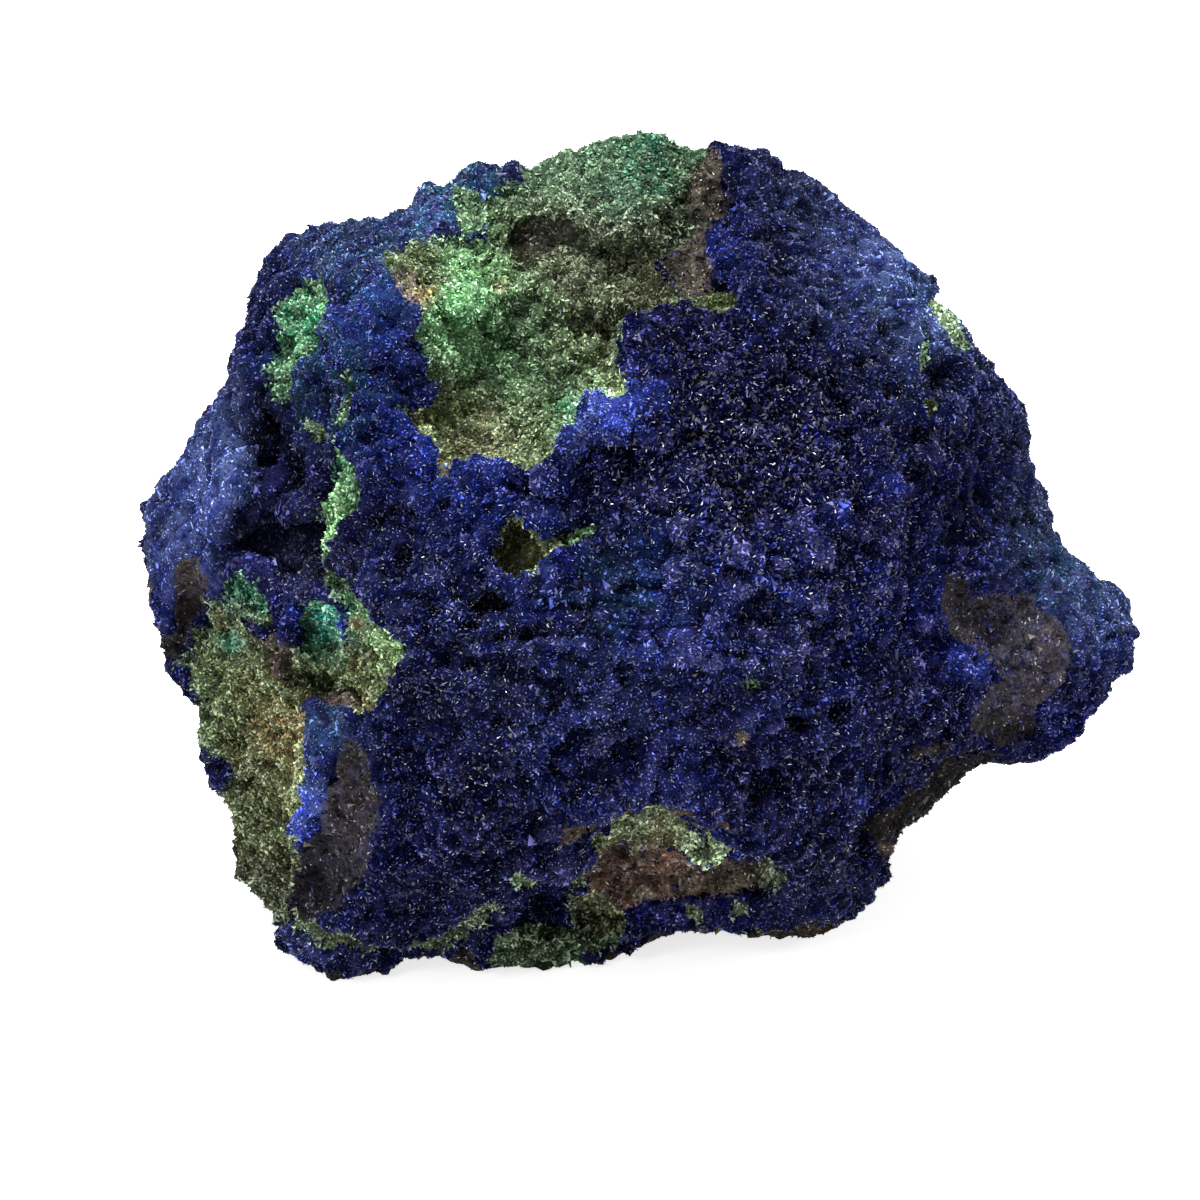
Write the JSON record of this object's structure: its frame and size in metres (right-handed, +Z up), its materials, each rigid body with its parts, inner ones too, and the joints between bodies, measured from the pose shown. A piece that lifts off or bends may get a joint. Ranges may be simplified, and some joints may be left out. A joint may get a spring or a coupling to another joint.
{
  "type": "azurite specimen",
  "caption": "Rough lump of azurite crust over malachite and iron-stained matrix, with a malachite-lined hollow on top, open pits and a knob at one side; stands on broken feet.",
  "frame": {"origin": "on the surface the lump stands on, under the middle of its bounding box", "axes": "+X to the right along the main blue face, which looks towards -Y and leans back; +Y towards the back; +Z up"},
  "size_m": [0.0852, 0.0643, 0.0635],
  "materials": {
    "azurite": "dark royal-blue crust of tiny glinting crystals, with matt green malachite, brown iron stain and near-black matrix where the crust is broken"
  },
  "bodies": {
    "root": {"azurite_specimen": "azurite"}
  },
  "joints": []
}
